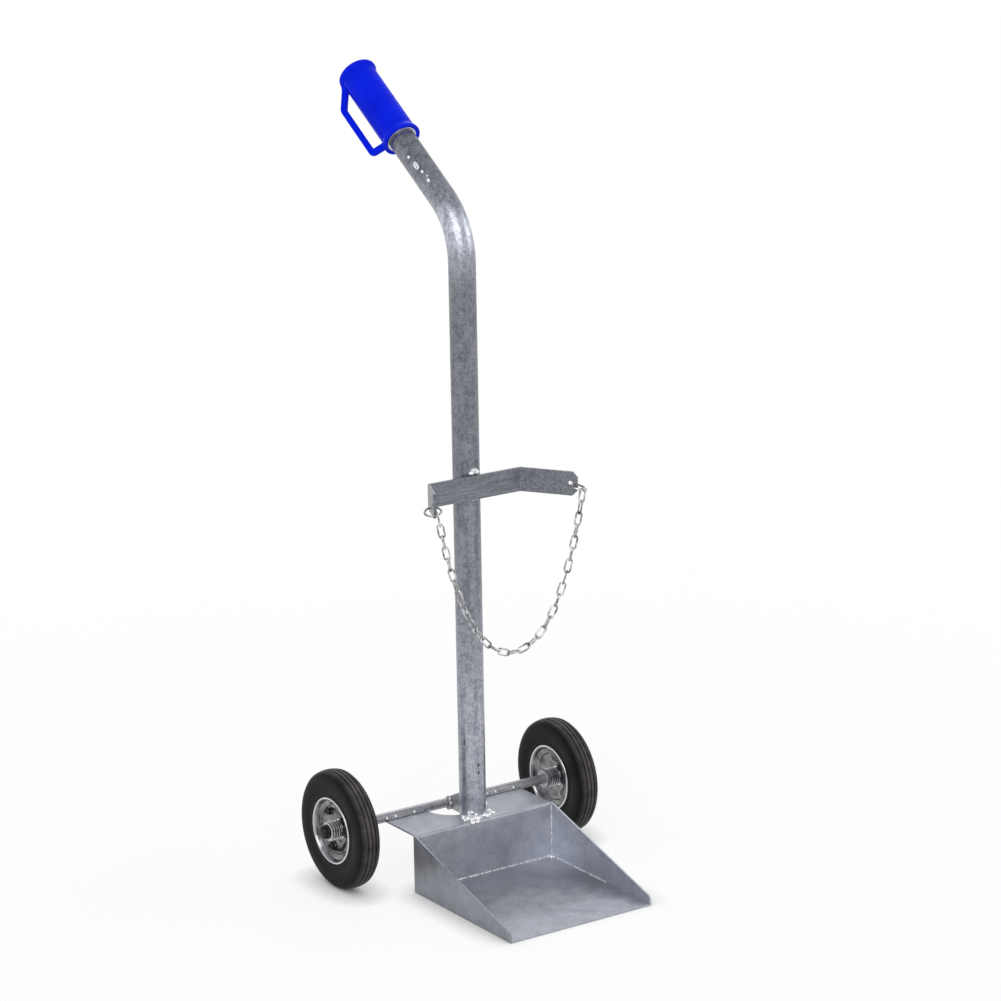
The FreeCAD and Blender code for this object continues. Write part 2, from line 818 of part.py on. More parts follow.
for thing in doc.Objects:
    faults = [state for state in thing.State if state in ("Invalid", "Error")]
    if faults:
        raise RuntimeError(f"{thing.Label} did not build: {faults}")
for node in nodes:
    if node.Shape.isNull() or not node.Shape.isValid() or not node.Shape.Solids:
        raise RuntimeError(f"{node.Label} has no valid solid")

os.makedirs("parts", exist_ok=True)
for node in nodes:
    node.Shape.exportStep(os.path.join("parts", node.Label + ".step"))
    solids = len(node.Shape.Solids)
    print(f"{node.Label}: {solids} solids, {node.Shape.Volume:.0f} mm3")
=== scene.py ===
import math
import random

import bmesh
import bpy
from mathutils import Matrix, Vector


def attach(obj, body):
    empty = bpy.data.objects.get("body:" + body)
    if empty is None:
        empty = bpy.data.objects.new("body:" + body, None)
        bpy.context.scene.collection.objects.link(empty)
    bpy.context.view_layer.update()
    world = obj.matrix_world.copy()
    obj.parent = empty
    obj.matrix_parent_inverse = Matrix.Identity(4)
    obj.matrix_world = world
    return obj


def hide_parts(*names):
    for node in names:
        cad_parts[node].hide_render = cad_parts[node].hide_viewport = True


# Lengths of the cart are millimetres in the frame's own axes, and turn into metres in piece().
# The floor, the lamps and the camera are given in metres.
MM = 0.001
X_AXIS = Vector((1, 0, 0))
Y_AXIS = Vector((0, 1, 0))
Z_AXIS = Vector((0, 0, 1))

TRAY_HALF = 138
FLOOR_HALF = 135
SHEET = 3
SHELF_Z = 98
NOTCH_R = 54
POST_Y = 171.9
POST_R = 22.25
AXLE_Y = 238
AXLE_Z = 100
AXLE_R = 8
TRACK_HALF = 218
HUB_BORE_R = 8.05
BOLT_CIRCLE_R = 34
BOLT_DEGREES = (52, 172, 292)
# distance from the cart's middle to the inner faces of the end caps and of the stop rings
CAP_X = 243.5
STOP_X = 186.5
BEND_Z = 1090
HANDLE_ANGLE = math.radians(55.6)
HANDLE_LINE = Vector((0, math.sin(HANDLE_ANGLE), math.cos(HANDLE_ANGLE)))
BEND_APEX = Vector((0, POST_Y, BEND_Z))
HANDLE_LENGTH = 367
GRIP_LENGTH = 163
GRIP_R = 29.35
GRIP_BORE_R = 22.35
GUARD_ROLL = math.radians(40)
BRACKET_Z = 663.5
BAR_WIDTH = 40
BAR_THICK = 5
SEAT_HALF = 90
# For each wing: its side of the cart, its length and the angle by which it is bent forward
WINGS = {"left": (-1, 75, 64.5), "right": (1, 102, 57)}
EYE_INSET = 12
EYE_R = 4.5
RING_R = 13.25
RING_WIRE = 3.5
RING_SEAT_GAP = 0.45
RING_DROOP = math.radians(18)
RING_SWING = 18
LINK_COUNT = 31
LINK_WIRE = 3.0
LINK_PITCH = 19.8
LINK_SLACK = 0.2
LINK_WIDTH = 12.6
LINK_TWIST = 65

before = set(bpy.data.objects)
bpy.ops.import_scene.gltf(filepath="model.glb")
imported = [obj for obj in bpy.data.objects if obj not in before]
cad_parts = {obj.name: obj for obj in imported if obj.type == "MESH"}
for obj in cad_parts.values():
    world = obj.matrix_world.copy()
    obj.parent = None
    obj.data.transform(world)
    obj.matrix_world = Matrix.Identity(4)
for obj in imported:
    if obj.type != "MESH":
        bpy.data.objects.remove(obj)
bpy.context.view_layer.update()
chance = random.Random(11)


def rounded(corners, steps=5):
    """A closed outline through corners (x, y, radius), each turned into an arc of its radius.

    It is also used for an open line, whose two ends have no radius.
    """
    outline = []
    count = len(corners)
    for i, (x, y, radius) in enumerate(corners):
        here = Vector((x, y))
        if radius == 0:
            outline.append(here)
            continue
        before = (Vector(corners[i - 1][:2]) - here).normalized()
        after = (Vector(corners[(i + 1) % count][:2]) - here).normalized()
        half = before.angle(after) / 2
        centre = here + (before + after).normalized() * (radius / math.sin(half))
        first = here + before * (radius / math.tan(half)) - centre
        last = here + after * (radius / math.tan(half)) - centre
        for k in range(steps + 1):
            outline.append(centre + first.lerp(last, k / steps).normalized() * radius)
    return outline


def mirrored_outline(half):
    """The outline of a part that is the same on both sides of its middle plane, from its one half."""
    return list(half) + [(-x, r) for x, r in reversed(half)]


def ring_faces(rings, size, closed):
    """Faces between rings of points that follow each other, each of the same size."""
    faces = []
    for i in range(rings if closed else rings - 1):
        after = (i + 1) % rings
        for j in range(size):
            k = (j + 1) % size
            faces.append((i * size + j, i * size + k, after * size + k, after * size + j))
    return faces


def turned(outline, origin, axis, turns=96, start=0.0):
    """A closed outline of (along, radius) turned about an axis."""
    axis = Vector(axis).normalized()
    across = axis.orthogonal().normalized() if abs(axis.x) < 0.9 else Y_AXIS.copy()
    beside = axis.cross(across)
    points = []
    for k in range(turns):
        angle = start + 2 * math.pi * k / turns
        out = across * math.cos(angle) + beside * math.sin(angle)
        points += [Vector(origin) + axis * x + out * r for x, r in outline]
    return points, ring_faces(turns, len(outline), True)


def swept(path, radii, up, sides=10, closed=False):
    """A round wire along a path, with a radius at each point and a direction that stays across it."""
    count = len(path)
    points = []
    for i, here in enumerate(path):
        before = path[i - 1] if closed or i > 0 else path[0]
        after = path[(i + 1) % count] if closed or i < count - 1 else path[-1]
        run = (after - before).normalized()
        side = run.cross(up).normalized()
        lift = side.cross(run)
        for j in range(sides):
            angle = 2 * math.pi * j / sides
            points.append(here + (side * math.cos(angle) + lift * math.sin(angle)) * radii[i])
    faces = ring_faces(count, sides, closed)
    if not closed:
        faces.append(tuple(reversed(range(sides))))
        faces.append(tuple(range((count - 1) * sides, count * sides)))
    return points, faces


def piece(name, parts, material, body, replaced=(), sharp=40):
    """One mesh object from parts given in millimetres, riding on a body of the frame."""
    points, faces = [], []
    for part_points, part_faces in parts:
        first = len(points)
        points += [Vector(p) * MM for p in part_points]
        faces += [tuple(first + i for i in face) for face in part_faces]
    mesh = bpy.data.meshes.new(name)
    mesh.from_pydata(points, [], faces)
    work = bmesh.new()
    work.from_mesh(mesh)
    bmesh.ops.remove_doubles(work, verts=work.verts, dist=1e-6)
    bmesh.ops.recalc_face_normals(work, faces=work.faces)
    work.to_mesh(mesh)
    work.free()
    mesh.shade_smooth()
    mesh.set_sharp_from_angle(angle=math.radians(sharp))
    thing = bpy.data.objects.new(name, mesh)
    bpy.context.scene.collection.objects.link(thing)
    mesh.materials.append(material)
    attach(thing, body)
    if replaced:
        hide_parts(*replaced)
    return thing


class Paint:
    """A node material with a Principled shader, and short ways to add its texture nodes."""

    def __init__(self, name, **values):
        self.material = bpy.data.materials.new(name)
        self.material.use_nodes = True
        self.nodes = self.material.node_tree.nodes
        self.links = self.material.node_tree.links
        self.shader = self.nodes["Principled BSDF"]
        for socket, value in values.items():
            self.shader.inputs[socket.replace("_", " ")].default_value = value
        self.place = self.nodes.new("ShaderNodeTexCoord").outputs["Object"]

    def stretched(self, scale):
        node = self.nodes.new("ShaderNodeMapping")
        node.inputs["Scale"].default_value = scale
        self.links.new(self.place, node.inputs["Vector"])
        return node.outputs["Vector"]

    def noise(self, scale, detail=4.0, rough=0.55, place=None):
        node = self.nodes.new("ShaderNodeTexNoise")
        node.inputs["Scale"].default_value = scale
        node.inputs["Detail"].default_value = detail
        node.inputs["Roughness"].default_value = rough
        self.links.new(place or self.place, node.inputs["Vector"])
        return node.outputs["Fac"]

    def cells(self, scale):
        node = self.nodes.new("ShaderNodeTexVoronoi")
        node.inputs["Scale"].default_value = scale
        self.links.new(self.place, node.inputs["Vector"])
        return node.outputs["Color"]

    def ramp(self, source, *stops):
        """A colour ramp with stops (position, colour or grey)."""
        node = self.nodes.new("ShaderNodeValToRGB")
        points = node.color_ramp.elements
        while len(points) < len(stops):
            points.new(1.0)
        for point, (position, colour) in zip(points, stops):
            if not isinstance(colour, tuple):
                colour = (colour, colour, colour)
            point.position = position
            point.color = (*colour, 1.0)
        self.links.new(source, node.inputs["Fac"])
        return node.outputs["Color"]

    def mix(self, factor, first, second, blend="MIX"):
        node = self.nodes.new("ShaderNodeMix")
        node.data_type = "RGBA"
        node.blend_type = blend
        for socket, source in ((0, factor), (6, first), (7, second)):
            if isinstance(source, (int, float)):
                node.inputs[socket].default_value = source
            elif isinstance(source, tuple):
                node.inputs[socket].default_value = (*source, 1.0)
            else:
                self.links.new(source, node.inputs[socket])
        return node.outputs[2]

    def total(self, *pairs):
        """The sum of patterns, each times its share."""
        result = None
        for source, share in pairs:
            node = self.nodes.new("ShaderNodeMath")
            node.operation = "MULTIPLY_ADD"
            self.links.new(source, node.inputs[0])
            node.inputs[1].default_value = share
            node.inputs[2].default_value = 0.0
            if result is not None:
                self.links.new(result, node.inputs[2])
            result = node.outputs[0]
        return result

    def along(self, axis, start, length, stops):
        """A grey that changes along an axis of the cart, from a start and over a length in millimetres."""
        parts = self.nodes.new("ShaderNodeSeparateXYZ")
        self.links.new(self.place, parts.inputs[0])
        share = self.nodes.new("ShaderNodeMapRange")
        share.inputs["From Min"].default_value = start * MM
        share.inputs["From Max"].default_value = (start + length) * MM
        self.links.new(parts.outputs[axis], share.inputs["Value"])
        return self.ramp(share.outputs["Result"], *stops)

    def from_line(self, point, direction):
        """The distance in metres from a line, given by a point in millimetres and a direction."""
        source = self.place
        for operation, value in (("SUBTRACT", Vector(point) * MM), ("CROSS_PRODUCT", direction)):
            node = self.nodes.new("ShaderNodeVectorMath")
            node.operation = operation
            self.links.new(source, node.inputs[0])
            node.inputs[1].default_value = value
            source = node.outputs["Vector"]
        length = self.nodes.new("ShaderNodeVectorMath")
        length.operation = "LENGTH"
        self.links.new(source, length.inputs[0])
        return length.outputs["Value"]

    def from_point(self, point):
        """The distance in metres from a point given in millimetres."""
        node = self.nodes.new("ShaderNodeVectorMath")
        node.operation = "DISTANCE"
        self.links.new(self.place, node.inputs[0])
        node.inputs[1].default_value = Vector(point) * MM
        return node.outputs["Value"]

    def colour(self, source):
        self.links.new(source, self.shader.inputs["Base Color"])

    def rough(self, source, low, high):
        self.links.new(self.ramp(source, (0.3, low), (0.7, high)), self.shader.inputs["Roughness"])

    def bump(self, source, strength, depth):
        node = self.nodes.new("ShaderNodeBump")
        node.inputs["Strength"].default_value = strength
        node.inputs["Distance"].default_value = depth * MM
        self.links.new(source, node.inputs["Height"])
        self.links.new(node.outputs["Normal"], self.shader.inputs["Normal"])


def galvanised(name, metal, colours, spread, shares, streak, grain, gloss, fade=(), bright=()):
    """Hot-dip zinc, dulled a little: cloudy patches, runs, small crystal flowers and a fine grain.

    A fade changes its lightness along an axis of the cart, and bright does so round a point; both paint
    light and shade into the zinc's colour.
    """
    paint = Paint(name, Metallic=metal)
    cloud = paint.noise(grain, 4.5, 0.62)
    runs = paint.noise(42.0, 3.0, 0.6, paint.stretched(streak))
    crystals = paint.ramp(paint.cells(230.0), (0.0, 0.0), (1.0, 1.0))
    speck = paint.noise(340.0, 1.5, 0.6)
    tone = paint.total(*zip((cloud, runs, crystals, speck), shares))
    middle = sum(shares) / 2
    zinc = paint.ramp(tone, (middle - spread, colours[0]), (middle + spread, colours[1]))
    if fade:
        zinc = paint.mix(1.0, zinc, paint.along(*fade), "MULTIPLY")
    if bright:
        point, stops = bright
        zinc = paint.mix(1.0, zinc, paint.ramp(paint.from_point(point), *stops), "MULTIPLY")
    paint.colour(zinc)
    paint.rough(cloud, *gloss)
    paint.bump(paint.total((speck, 1.0), (cloud, 0.5)), 0.12, 0.2)
    return paint.material


def make_weld_metal():
    paint = Paint("weld_metal", Metallic=0.7)
    lumps = paint.noise(190.0, 4.0, 0.5)
    paint.colour(paint.ramp(lumps, (0.34, (0.45, 0.45, 0.47)), (0.52, (0.93, 0.93, 0.94))))
    paint.rough(paint.noise(160.0), 0.18, 0.27)
    paint.bump(lumps, 0.2, 0.3)
    return paint.material


def make_chain_zinc():
    paint = Paint("chain_zinc", Metallic=1.0)
    stain = paint.noise(90.0, 5.0, 0.6)
    paint.colour(paint.ramp(stain, (0.36, (0.13, 0.13, 0.13)), (0.6, (0.66, 0.66, 0.66))))
    paint.rough(paint.noise(300.0), 0.14, 0.27)
    paint.bump(paint.noise(900.0), 0.12, 0.15)
    return paint.material


def make_blue_plastic():
    paint = Paint("blue_plastic", Specular_IOR_Level=0.03)
    cloud = paint.noise(30.0, 4.0, 0.5)
    body = paint.ramp(cloud, (0.3, (0.0, 0.010, 0.60)), (0.7, (0.001, 0.014, 0.72)))
    # the crests of the bead and the collar carry a painted highlight, a lighter blue
    radius = paint.from_line(BEND_APEX, HANDLE_LINE)
    crest = paint.ramp(radius, (0.0312, 0.0), (0.0325, 0.8), (0.0333, 0.8), (0.0345, 0.0))
    paint.colour(paint.mix(crest, body, (0.11, 0.16, 0.92)))
    paint.rough(paint.noise(120.0), 0.285, 0.38)
    paint.bump(paint.noise(1400.0, 2.0), 0.1, 0.08)
    return paint.material


def make_black_plastic():
    paint = Paint("black_plastic", Specular_IOR_Level=0.3)
    cloud = paint.noise(70.0, 4.0, 0.5)
    paint.colour(paint.ramp(cloud, (0.3, 0.008), (0.7, 0.018)))
    paint.rough(paint.noise(200.0), 0.3, 0.45)
    paint.bump(paint.noise(1500.0, 2.0), 0.12, 0.08)
    return paint.material


def make_rubber():
    paint = Paint("tyre_rubber", Specular_IOR_Level=0.085)
    dust = paint.noise(36.0, 6.0, 0.62)
    grain = paint.noise(700.0, 3.0, 0.6)
    tone = paint.total((dust, 1.0), (grain, 0.25))
    clean = paint.ramp(tone, (0.45, (0.003, 0.003, 0.0033)), (0.85, (0.011, 0.0108, 0.011)))
    worn_and_highlight = paint.ramp(tone, (0.45, (0.055, 0.05, 0.049)), (0.85, (0.16, 0.147, 0.141)))
    # the tops of the ribs are worn and dusty, and their lighter colour is also a painted highlight from the
    # light above
    tread = paint.ramp(paint.from_line((0, AXLE_Y, AXLE_Z), X_AXIS), (0.0974, 0.0), (0.0983, 1.0))
    paint.colour(paint.mix(tread, clean, worn_and_highlight))
    paint.rough(dust, 0.38, 0.54)
    paint.bump(grain, 0.2, 0.2)
    return paint.material


def make_bright_zinc(name, dark, light, low, high, lip=None):
    """Bright plating: nearly a mirror, with faint clouds and turning marks, and on a rim a lighter lip."""
    paint = Paint(name, Metallic=1.0)
    cloud = paint.noise(55.0, 5.0, 0.6)
    plating = paint.ramp(cloud, (0.3, dark), (0.7, light))
    if lip:
        edge = paint.ramp(paint.from_line((0, AXLE_Y, AXLE_Z), X_AXIS), (0.0508, 0.0), (0.0525, 1.0))
        plating = paint.mix(edge, plating, lip)
    paint.colour(plating)
    marks = paint.noise(240.0, 4.0, 0.6)
    paint.rough(marks, low, high)
    paint.bump(marks, 0.06, 0.12)
    return paint.material


def make_sheet_zinc(name, level, fade=(), bright=()):
    """Zinc on a flat sheet, at a level of lightness: the level paints the light and shade that fall on each
    plate.
    """
    dark = tuple(level * v for v in (0.268, 0.282, 0.322))
    light = tuple(level * v for v in (0.385, 0.398, 0.44))
    return galvanised(
        name,
        metal=0.55,
        colours=(dark, light),
        spread=0.14,
        shares=(0.5, 0.15, 0.15, 0.2),
        streak=(1.0, 1.0, 0.35),
        grain=36.0,
        gloss=(0.285, 0.42),
        fade=fade,
        bright=bright,
    )


# painted light and shade along the tray, from the front edge back: a painted sheen at the front, painted
# shade over the middle of the floor, painted light on the back wall, and the shelf
TOE_PAINTED_LIGHT = ((0.0, 1.2), (0.12, 1.14), (0.3, 0.77), (0.44, 0.76), (0.62, 0.98))
TOE_PAINTED_LIGHT += ((0.683, 1.0), (0.688, 1.2), (0.696, 1.2), (0.705, 0.98), (0.93, 0.94))
# the inner right corner is brighter: painted light
TRAY_CORNER = (FLOOR_HALF, TRAY_HALF, SHEET)
TOE_CORNER_PAINTED_LIGHT = (TRAY_CORNER, ((0.0, 1.42), (0.055, 1.36), (0.095, 1.0)))
RIGHT_CORNER_PAINTED_LIGHT = (TRAY_CORNER, ((0.0, 1.3), (0.055, 1.2), (0.11, 1.0)))
TOE_ZINC = make_sheet_zinc("galvanised_toe", 1.0, ("Y", -140, 400, TOE_PAINTED_LIGHT), TOE_CORNER_PAINTED_LIGHT)
# painted shade on the left plate, set darker; the right plate below is set lighter as painted light
LEFT_ZINC = make_sheet_zinc("galvanised_left_plate", 0.78)
# painted shade on the right plate, darker towards its front end
RIGHT_PAINTED_SHADE = ((0.15, 0.86), (0.55, 1.0))
RIGHT_ZINC = make_sheet_zinc("galvanised_right_plate", 1.55, ("Y", -140, 280, RIGHT_PAINTED_SHADE), RIGHT_CORNER_PAINTED_LIGHT)
AXLE_ZINC = galvanised(
    "galvanised_axle",
    metal=0.6,
    colours=((0.24, 0.245, 0.26), (0.42, 0.425, 0.445)),
    spread=0.18,
    shares=(0.4, 0.2, 0.2, 0.2),
    streak=(0.3, 1.4, 1.4),
    grain=60.0,
    gloss=(0.285, 0.42),
)
# painted light and shade from the floor up: lit at the foot, painted shade from the knee to the chest, and
# a painted highlight at the bend
TUBE_PAINTED_LIGHT = ((0.06, 1.0), (0.14, 0.92), (0.25, 0.58), (0.42, 0.45), (0.5, 0.5))
TUBE_PAINTED_LIGHT += ((0.525, 0.92), (0.543, 1.45), (0.56, 0.92), (0.585, 0.52))
GALVANISED_TUBE = galvanised(
    "galvanised_tube",
    metal=0.7,
    colours=((0.245, 0.262, 0.312), (0.505, 0.52, 0.575)),
    spread=0.085,
    shares=(0.3, 0.3, 0.12, 0.28),
    streak=(2.4, 2.4, 0.2),
    grain=60.0,
    gloss=(0.285, 0.42),
    fade=("Z", 0, 2000, TUBE_PAINTED_LIGHT),
)
GALVANISED_BAR = galvanised(
    "galvanised_bar",
    metal=0.6,
    colours=((0.118, 0.127, 0.15), (0.225, 0.233, 0.256)),
    spread=0.09,
    shares=(0.15, 0.5, 0.1, 0.25),
    streak=(0.35, 6.0, 6.0),
    grain=60.0,
    gloss=(0.285, 0.44),
)
WELD = make_weld_metal()
CHAIN = make_chain_zinc()
BLUE = make_blue_plastic()
BLACK = make_black_plastic()
RUBBER = make_rubber()
RIM = make_bright_zinc("rim_zinc", (0.06, 0.06, 0.064), (0.31, 0.31, 0.32), 0.12, 0.24, (0.62, 0.62, 0.64))
HUB = make_bright_zinc("hub_steel", (0.36, 0.36, 0.37), (0.6, 0.6, 0.62), 0.14, 0.27)
BOLT = make_bright_zinc("dark_bolt", (0.03, 0.03, 0.032), (0.09, 0.09, 0.094), 0.3, 0.42)


def dress(node, material, bevel):
    """Give a solid of the frame its material, and soften its sharp edges so that they catch the light."""
    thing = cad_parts[node]
    for holder in thing.material_slots:
        holder.material = material
    weld = thing.modifiers.new("weld", "WELD")
    weld.merge_threshold = 1e-6
    merge = thing.modifiers.new("merge", "DECIMATE")
    merge.decimate_type = "DISSOLVE"
    merge.angle_limit = math.radians(0.5)
    soften = thing.modifiers.new("soften", "BEVEL")
    soften.width = bevel * MM
    soften.segments = 2
    soften.limit_method = "ANGLE"
    soften.angle_limit = math.radians(35)
    thing.modifiers.new("shade", "WEIGHTED_NORMAL")


def tyre_half():
    """Half a tyre's outline, from the middle plane to the bead: ribs, shoulder, side and bead ring."""
    crown = 100
    depth = 2.3

    def tread(x, sink=0.0):
        return (x, crown - 0.0125 * x * x - sink)

    half = [tread(0, depth), tread(0.9, depth), tread(1.25, 0.5), tread(1.7)]
    half += [tread(x) for x in (3.2, 4.8)]
    half += [tread(5.6), tread(6.05, 0.5), tread(6.4, depth), tread(8.2, depth)]
    half += [tread(8.55, 0.5), tread(9.0), tread(10.6), tread(12.2), tread(13.6)]
    half += [(14.4, 97.1), (14.9, 96.2), (15.5, 95.9), (16.6, 94.9), (17.9, 93.1), (18.9, 90.7)]
    half += [(19.55, 87.8), (19.9, 84.4), (20.0, 80.6), (19.85, 76.4), (19.5, 72.2), (19.0, 68.2)]
    half += [(18.5, 64.8), (18.3, 63.0), (18.5, 62.0), (18.75, 60.8), (18.7, 59.3), (18.3, 57.9)]
    half += [(17.4, 56.9)]
    return half


def rim_half():
    """Half a rim's outline: the web round the hub, the bowl, a pressed step and the rolled lip."""
    return rounded(
        [
            (2.1, 16.7, 0),
            (2.1, 24.0, 12),
            (10.6, 38.4, 1.8),
            (8.2, 42.6, 2.0),
            (11.0, 46.8, 2.2),
            (11.2, 49.6, 2.0),
            (16.6, 52.0, 1.8),
            (19.3, 53.4, 1.3),
            (19.3, 56.4, 1.4),
            (16.4, 56.4, 0),
            (0.0, 56.4, 0),
            (0.0, 16.7, 0),
        ],
        6,
    )[:-2]


def hub_half():
    """Half a hub's outline, from the middle plane to the end face: plain, then four ridges."""
    half = [(0, 14.6), (4.4, 14.6)]
    for crest in (6.6, 11.0, 15.4, 19.8):
        half += [(crest - 1.6, 14.2), (crest - 1.1, 15.6), (crest - 0.5, 16.4)]
        half += [(crest + 0.5, 16.4), (crest + 1.1, 15.6), (crest + 1.6, 14.2)]
    half += [(22.2, 14.2), (22.7, 15.4), (24.3, 15.8), (25.0, 15.0), (25.0, HUB_BORE_R)]
    return half


def hex_nut(origin, axis, across_corners, height):
    outline = [
        (0, 0),
        (0, across_corners),
        (height - 0.9, across_corners),
        (height, across_corners - 1.0),
        (height, 0),
    ]
    return turned(outline, origin, axis, 6)


def stud_end(origin, axis, radius, length):
    """The end of a threaded rod, with its crests and roots."""
    pitch = 1.25
    outline = [(0, 0), (0, radius)]
    place = 0.0
    while place + pitch < length - 0.8:
        outline += [(place + 0.15, radius), (place + pitch / 2, radius - 0.6)]
        place += pitch
    outline += [(length - 0.8, radius), (length, radius - 0.9), (length, 0)]
    return turned(outline, origin, axis, 20)


def make_wheel(side, sign):
    body = side + "_wheel"
    centre = Vector((sign * TRACK_HALF, AXLE_Y, AXLE_Z))
    out = X_AXIS * sign
    piece(
        side + "_ribbed_tyre",
        [turned(mirrored_outline(tyre_half()), centre, out, 128)],
        RUBBER, body, (side + "_tyre",), sharp=32,
    )
    piece(
        side + "_dished_rim",
        [turned(mirrored_outline(rim_half()), centre, out, 112)],
        RIM, body, (side + "_rim",), sharp=30,
    )
    piece(
        side + "_ridged_hub",
        [turned(mirrored_outline(hub_half()), centre, out, 64)],
        HUB, body, (side + "_hub",), sharp=50,
    )
    nuts, pads = [], []
    pad_outline = [(-4.0, 0), (-4.0, 7.8), (0.2, 7.6), (0.9, 6.8), (0.9, 0)]
    washer = [(0, 0), (0, 6.9), (0.9, 6.9), (1.2, 6.6), (1.2, 0)]
    for degrees in BOLT_DEGREES:
        angle = math.radians(degrees)
        spoke = (Y_AXIS * math.cos(angle) + Z_AXIS * math.sin(angle)) * BOLT_CIRCLE_R
        pads.append(turned(pad_outline, centre + spoke + out * 6.2, out, 40))
        top = centre + spoke + out * 7.0
        nuts.append(turned(washer, top, out, 32))
        nuts.append(hex_nut(top + out * 1.0, out, 6.4, 5.0))
        nuts.append(stud_end(top + out * 5.0, out, 3.6, 6.0))
    piece(side + "_bolt_pads", pads, RIM, body)
    piece(side + "_rim_nuts", nuts, BOLT, body, sharp=25)


def make_axle_fittings():
    caps, stops = [], []
    cap_outline = rounded(
        [
            (0.0, 0.0, 0),
            (0.0, 12.4, 0.8),
            (2.2, 12.4, 0.8),
            (2.6, 10.8, 0.5),
            (13.0, 9.8, 6.0),
            (13.0, 0.0, 0),
        ],
        8,
    )
    stop_outline = rounded(
        [(0.0, HUB_BORE_R, 0.4), (0.0, 16.0, 1.2), (6.0, 16.0, 1.2), (6.0, HUB_BORE_R, 0.4)]
    )
    for sign in (1, -1):
        out = X_AXIS * sign
        caps.append(turned(cap_outline, (sign * CAP_X, AXLE_Y, AXLE_Z), out, 48))
        stops.append(turned(stop_outline, (sign * STOP_X, AXLE_Y, AXLE_Z), out, 48))
    piece("domed_axle_caps", caps, BLACK, "frame", ("axle_caps",))
    piece("turned_stop_rings", stops, AXLE_ZINC, "frame", ("axle_stop_rings",))


def make_grip():
    """A moulded sleeve with a bell mouth, a rolled end bead and a knuckle guard that flares into it."""
    along = HANDLE_LINE
    under = Vector((0, math.cos(HANDLE_ANGLE), -math.sin(HANDLE_ANGLE)))
    guard_side = -X_AXIS * math.cos(GUARD_ROLL) + under * math.sin(GUARD_ROLL)
    across = along.cross(guard_side)
    origin = BEND_APEX + along * (HANDLE_LENGTH - GRIP_LENGTH)
    end = GRIP_LENGTH
    sleeve = rounded(
        [
            (1.8, GRIP_BORE_R, 0.5),
            (1.3, 29.0, 0.8),
            (0.0, 30.6, 0.6),
            (0.0, 32.4, 0.8),
            (3.6, 32.3, 2.2),
            (12.5, GRIP_R, 9.0),
            (end - 9.4, GRIP_R, 1.4),
            (end - 7.6, 33.0, 3.0),
            (end, 33.0, 3.6),
            (end, 27.0, 1.2),
            (end - 1.2, 25.4, 1.2),
            (end - 1.2, 0.0, 0),
            (end - 5.8, 0.0, 0),
            (end - 5.8, GRIP_BORE_R, 0),
        ],
        7,
    )
    bow = guard_bow()
    rings = []
    for place, reach, run, half_run, half_wide in bow:
        out = Vector((-run[1], run[0]))
        corner = min(half_run, half_wide) * 0.55
        section = rounded(
            [
                (half_run, half_wide, corner),
                (-half_run, half_wide, corner),
                (-half_run, -half_wide, corner),
                (half_run, -half_wide, corner),
            ],
            4,
        )
        for offset, wide in section:
            local = Vector((place, reach)) + out * offset
            rings.append(origin + along * local.x + guard_side * local.y + across * wide)
    size = len(rings) // len(bow)
    faces = ring_faces(len(bow), size, False)
    faces.append(tuple(reversed(range(size))))
    faces.append(tuple(range(len(rings) - size, len(rings))))
    piece(
        "moulded_grip",
        [turned(sleeve, origin, along, 96), (rings, faces)],
        BLUE, "frame", ("handle_grip",), sharp=50,
    )
    # the pale edge of the liner that shows round the tube in the sleeve's mouth
    liner = rounded([(0.3, 22.3, 0), (0.3, 25.4, 0.6), (2.4, 26.0, 0), (2.4, 22.3, 0)])
    piece("grip_mouth_liner", [turned(liner, origin, along, 72)], HUB, "frame")


def guard_bow():
    """Stations along the guard: place, reach, direction and half sizes, with flared roots."""
    reach = 51.8
    corners = [(9.0, 24.0, 0), (10.2, reach, 5.0), (113.3, reach, 14.0), (153.0, 27.0, 0)]
    line = rounded(corners, 8)
    spaced = []
    for first, second in zip(line, line[1:]):
        parts = max(1, int((second - first).length / 2.5))
        spaced += [first.lerp(second, k / parts) for k in range(parts)]
    spaced.append(line[-1])
    lengths = [0.0]
    for first, second in zip(spaced, spaced[1:]):
        lengths.append(lengths[-1] + (second - first).length)
    stations = []
    for i, here in enumerate(spaced):
        run = (spaced[min(i + 1, len(spaced) - 1)] - spaced[max(i - 1, 0)]).normalized()
        near = min(lengths[i], lengths[-1] - lengths[i])
        flare = 3.0 * max(0.0, 1 - near / 10.0) ** 2
        stations.append((here.x, here.y, run, 5.3 + flare * 0.6, 5.5 + flare))
    return stations


def wire_loop(straight, radius, wire, steps):
    """A round wire bent into a flat loop in the XY plane: two straight sides along X and round ends."""
    path = []
    for end in (1, -1):
        for k in range(steps + 1):
            angle = math.pi * (k / steps - 0.5)
            x = straight / 2 + radius * math.cos(angle)
            path.append(Vector((end * x, end * radius * math.sin(angle), 0)))
    return swept(path, [wire / 2] * len(path), Z_AXIS, 12, True)


def wing_lines(sign, degrees):
    """The level lines along and across a wing that is bent forward by an angle."""
    turn = math.radians(degrees)
    along = Vector((sign * math.cos(turn), -math.sin(turn), 0))
    across = Vector((sign * math.sin(turn), math.cos(turn), 0))
    return along, across


def ring_frame(side):
    """Centre of a chain ring in its wing's eye, the way it hangs and the line across it."""
    sign, length, degrees = WINGS[side]
    along, across = wing_lines(sign, degrees)
    bend = Vector((sign * SEAT_HALF, POST_Y - POST_R, 0))
    eye = bend + along * (length - EYE_INSET) - across * (BAR_THICK / 2)
    eye.z = BRACKET_Z - (EYE_R - RING_WIRE / 2 - RING_SEAT_GAP)
    ahead, across = wing_lines(sign, degrees - RING_SWING)
    hang = ahead * math.cos(RING_DROOP) - Z_AXIS * math.sin(RING_DROOP)
    return eye + hang * RING_R, hang, across


def chain_seat(side):
    """The foremost point of a ring's centre line, where the chain's end link hangs."""
    centre, hang, across = ring_frame(side)
    return centre + (hang * -hang.y - across * across.y).normalized() * RING_R


